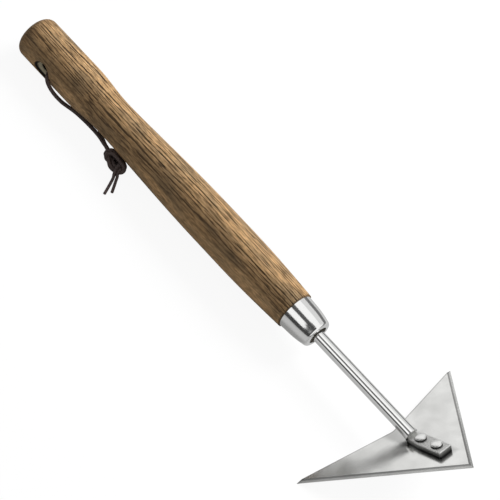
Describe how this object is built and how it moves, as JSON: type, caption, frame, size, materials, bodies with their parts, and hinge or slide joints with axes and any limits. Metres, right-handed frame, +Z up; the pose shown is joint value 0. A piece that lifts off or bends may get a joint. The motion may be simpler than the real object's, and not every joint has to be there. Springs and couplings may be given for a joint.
{
  "type": "arrowhead hand hoe",
  "caption": "Short-handled hoe with a turned wood grip, polished ferrule, cranked round shank and a riveted arrowhead blade with swept wings, with a knotted leather hanging loop.",
  "frame": {"origin": "middle of the tool's footprint, on the floor that it lies on: the two wing tips and the edge of the butt touch the floor", "axes": "+X along the handle towards the blade's tip, +Y to the wing away from the knot, +Z up from the floor"},
  "size_m": [0.4438, 0.15, 0.0533],
  "materials": {
    "stained_wood": "brown-stained open-grained hardwood, oiled, dull",
    "polished_steel": "spun stainless sheet, mirror polished",
    "bright_steel": "bright stainless rod, forged tang ground satin",
    "satin_steel": "satin-ground stainless plate with ground bevels",
    "lace_leather": "dark brown round leather lace, dull"
  },
  "bodies": {
    "root": {"handle": "stained_wood", "ferrule": "polished_steel", "shank": "bright_steel", "blade": "satin_steel", "rear_rivet": "satin_steel", "front_rivet": "satin_steel", "lanyard_near_strand": "lace_leather", "lanyard_far_strand": "lace_leather", "lanyard_knot": "lace_leather", "lanyard_near_tail": "lace_leather", "lanyard_far_tail": "lace_leather"}
  },
  "joints": []
}
